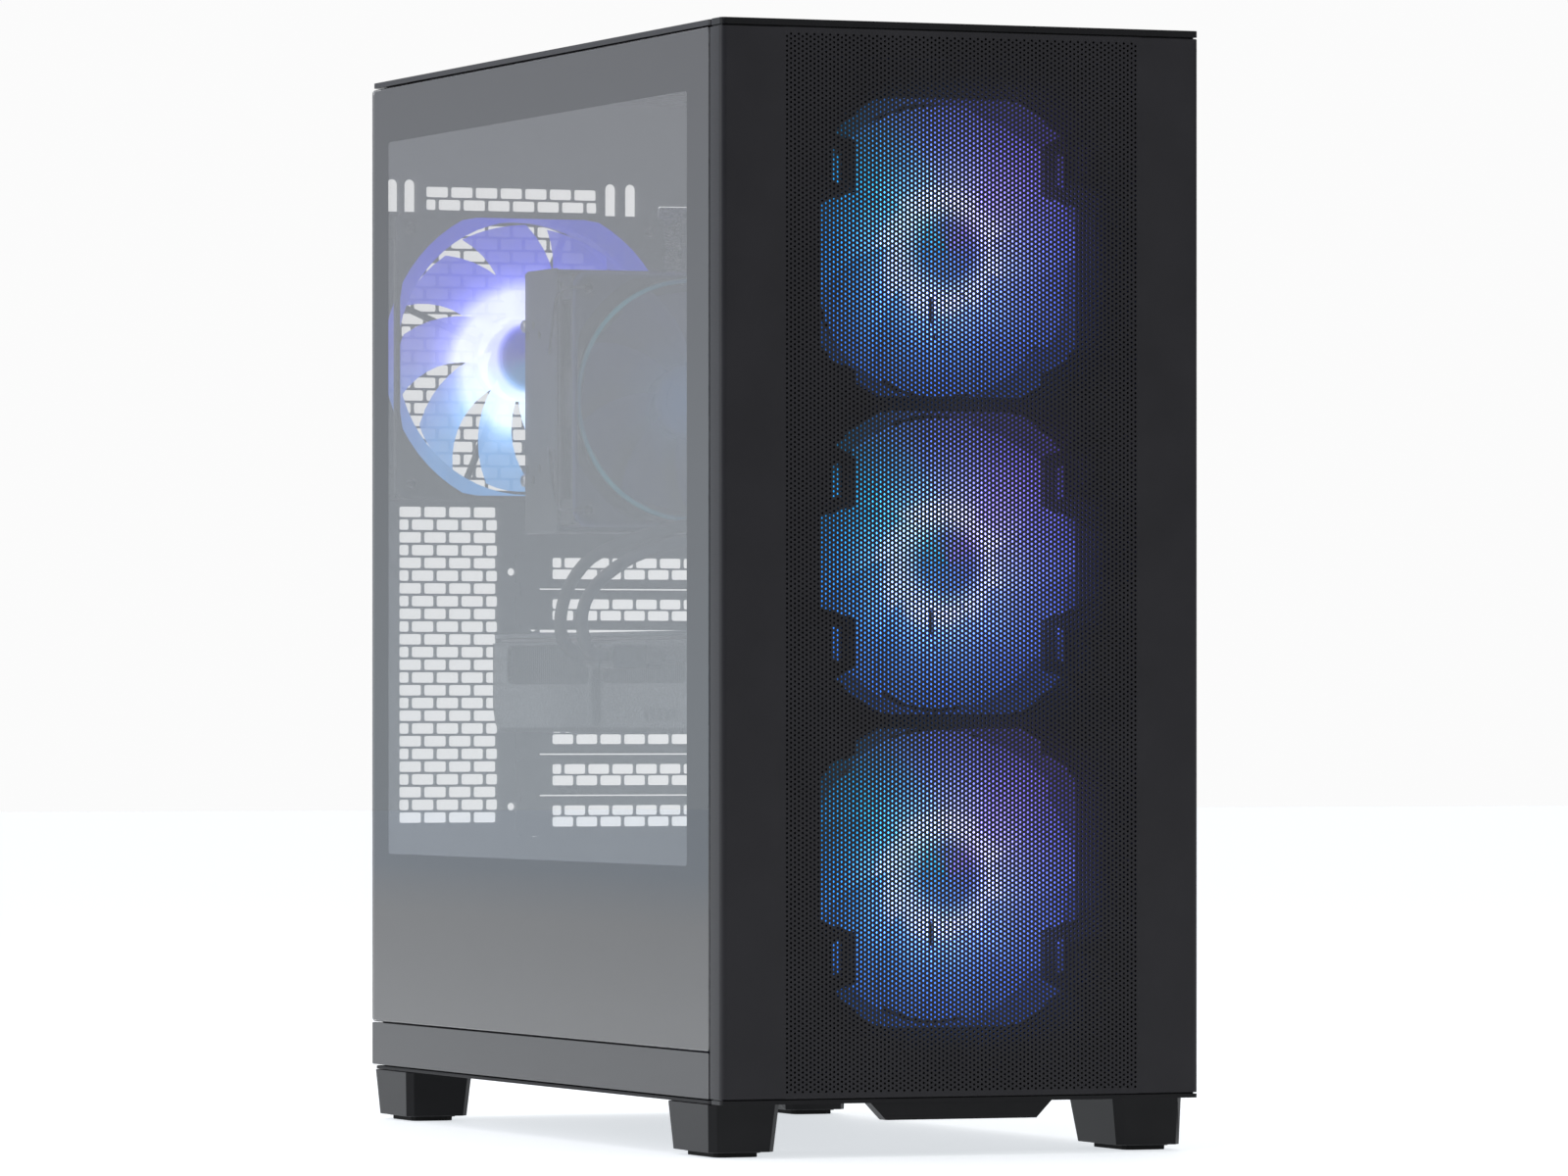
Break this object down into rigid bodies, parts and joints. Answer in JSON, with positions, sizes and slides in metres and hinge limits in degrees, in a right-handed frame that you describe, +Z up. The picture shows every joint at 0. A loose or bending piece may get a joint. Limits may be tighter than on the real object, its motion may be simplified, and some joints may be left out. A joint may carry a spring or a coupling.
{
  "type": "desktop computer tower",
  "caption": "Mid-size desktop computer tower with a perforated steel front, glass side, ringed case fans and a tower-cooled motherboard inside.",
  "frame": {"origin": "on the floor, at the centre of the bounding box seen from above", "axes": "+Z up, the perforated front faces -Y, the glass side faces -X, the ports face +Y"},
  "size_m": [0.232, 0.47, 0.506],
  "materials": {
    "painted_steel": "fine-textured matt black paint",
    "black_plastic": "moulded matt black",
    "rubber": "plain",
    "smoked_glass": "grey-tinted tempered glass with a black border",
    "rotor_plastic": "translucent frosted blades, lit from the hub",
    "circuit_board": "black solder mask with small parts",
    "fin_aluminium": "plain rolled fins",
    "dark_heatsink": "dark anodised",
    "plated_steel": "bright nickel plate",
    "port_shell": "bright plated shells around dark sockets",
    "cable_sleeve": "braided black sleeve"
  },
  "bodies": {
    "chassis": {"base_plate": "painted_steel", "rear_panel": "painted_steel", "motherboard_tray": "painted_steel", "front_chassis_frame": "painted_steel", "top_chassis_frame": "painted_steel", "psu_shroud": "painted_steel", "side_sill": "painted_steel", "top_panel": "painted_steel", "front_io_module": "black_plastic", "motherboard": "circuit_board", "vrm_heatsink": "dark_heatsink", "m2_heatsink": "dark_heatsink", "rear_io_block": "port_shell", "ram_module_1": "dark_heatsink", "ram_module_2": "dark_heatsink", "cooler_base": "plated_steel", "cooler_fins": "fin_aluminium", "cooler_fan_frame": "black_plastic", "gpu_shroud": "dark_heatsink", "gpu_heatsink": "fin_aluminium", "gpu_board": "circuit_board", "gpu_bracket": "plated_steel", "gpu_power_cable_1": "cable_sleeve", "gpu_power_cable_2": "cable_sleeve", "atx_power_cable": "cable_sleeve", "slot_covers": "painted_steel", "psu_case": "painted_steel", "psu_board": "circuit_board", "foot_front_left": "black_plastic", "foot_pad_front_left": "rubber", "foot_front_right": "black_plastic", "foot_pad_front_right": "rubber", "foot_rear_left": "black_plastic", "foot_pad_rear_left": "rubber", "foot_rear_right": "black_plastic", "foot_pad_rear_right": "rubber", "front_fan_upper_frame": "black_plastic", "front_fan_middle_frame": "black_plastic", "front_fan_lower_frame": "black_plastic", "rear_fan_frame": "black_plastic"},
    "front_panel": {"front_cover": "painted_steel", "front_panel_frame": "black_plastic"},
    "glass_side": {"glass_panel": "smoked_glass"},
    "right_side": {"side_panel_right": "painted_steel"},
    "upper_thumbscrew": {"thumbscrew_upper": "black_plastic"},
    "lower_thumbscrew": {"thumbscrew_lower": "black_plastic"},
    "roof_filter": {"top_filter": "black_plastic"},
    "supply_filter": {"psu_filter": "black_plastic"},
    "power_key": {"power_button": "black_plastic"},
    "led_mode_key": {"led_mode_button": "black_plastic"},
    "led_colour_key": {"led_colour_button": "black_plastic"},
    "upper_front_rotor": {"front_fan_upper_rotor": "rotor_plastic"},
    "middle_front_rotor": {"front_fan_middle_rotor": "rotor_plastic"},
    "lower_front_rotor": {"front_fan_lower_rotor": "rotor_plastic"},
    "rear_rotor": {"rear_fan_rotor": "rotor_plastic"},
    "cooler_rotor": {"cooler_fan_rotor": "black_plastic"},
    "gpu_rotor_1": {"gpu_fan_1": "black_plastic"},
    "gpu_rotor_2": {"gpu_fan_2": "black_plastic"},
    "supply_rotor": {"psu_fan_rotor": "black_plastic"},
    "supply_switch": {"psu_rocker": "black_plastic"}
  },
  "joints": [
    {"name": "front_panel_pull", "type": "slide", "parent": "chassis", "child": "front_panel", "axis": [0, -1, 0], "range_m": [0, 0.08]},
    {"name": "glass_pull", "type": "slide", "parent": "chassis", "child": "glass_side", "axis": [-1, 0, 0], "range_m": [0, 0.1]},
    {"name": "right_side_slide", "type": "slide", "parent": "chassis", "child": "right_side", "axis": [0, 1, 0], "range_m": [0, 0.025]},
    {"name": "upper_thumbscrew_turn", "type": "hinge", "parent": "right_side", "child": "upper_thumbscrew", "pos_m": [0.105, 0.23, 0.44], "axis": [0, 1, 0], "continuous": true},
    {"name": "lower_thumbscrew_turn", "type": "hinge", "parent": "right_side", "child": "lower_thumbscrew", "pos_m": [0.105, 0.23, 0.09], "axis": [0, 1, 0], "continuous": true},
    {"name": "roof_filter_lift", "type": "slide", "parent": "chassis", "child": "roof_filter", "axis": [0, 0, 1], "range_m": [0, 0.05]},
    {"name": "supply_filter_draw", "type": "slide", "parent": "chassis", "child": "supply_filter", "axis": [0, 1, 0], "range_m": [0, 0.15]},
    {"name": "power_press", "type": "slide", "parent": "chassis", "child": "power_key", "axis": [0, 0, -1], "range_m": [0, 0.0012], "stiffness_N_per_m": 400, "springref_m": -0.001},
    {"name": "led_mode_press", "type": "slide", "parent": "chassis", "child": "led_mode_key", "axis": [0, 0, -1], "range_m": [0, 0.0012], "stiffness_N_per_m": 400, "springref_m": -0.001},
    {"name": "led_colour_press", "type": "slide", "parent": "chassis", "child": "led_colour_key", "axis": [0, 0, -1], "range_m": [0, 0.0012], "stiffness_N_per_m": 400, "springref_m": -0.001},
    {"name": "upper_front_spin", "type": "hinge", "parent": "chassis", "child": "upper_front_rotor", "pos_m": [0, -0.205, 0.4056], "axis": [0, 1, 0], "continuous": true},
    {"name": "middle_front_spin", "type": "hinge", "parent": "chassis", "child": "middle_front_rotor", "pos_m": [0, -0.205, 0.2653], "axis": [0, 1, 0], "continuous": true},
    {"name": "lower_front_spin", "type": "hinge", "parent": "chassis", "child": "lower_front_rotor", "pos_m": [0, -0.205, 0.125], "axis": [0, 1, 0], "continuous": true},
    {"name": "rear_spin", "type": "hinge", "parent": "chassis", "child": "rear_rotor", "pos_m": [-0.041, 0.214, 0.372], "axis": [0, 1, 0], "continuous": true},
    {"name": "cooler_spin", "type": "hinge", "parent": "chassis", "child": "cooler_rotor", "pos_m": [-0.0165, 0.06, 0.3465], "axis": [0, 1, 0], "continuous": true},
    {"name": "gpu_spin_1", "type": "hinge", "parent": "chassis", "child": "gpu_rotor_1", "pos_m": [0.0077, 0.136, 0.2], "axis": [0, 0, 1], "continuous": true},
    {"name": "gpu_spin_2", "type": "hinge", "parent": "chassis", "child": "gpu_rotor_2", "pos_m": [0.0077, 0.03, 0.2], "axis": [0, 0, 1], "continuous": true},
    {"name": "supply_spin", "type": "hinge", "parent": "chassis", "child": "supply_rotor", "pos_m": [0.015, 0.15, 0.037], "axis": [0, 0, 1], "continuous": true},
    {"name": "supply_switch_rock", "type": "hinge", "parent": "chassis", "child": "supply_switch", "pos_m": [0.065, 0.2224, 0.084], "axis": [1, 0, 0], "range_deg": [0, 12]}
  ]
}
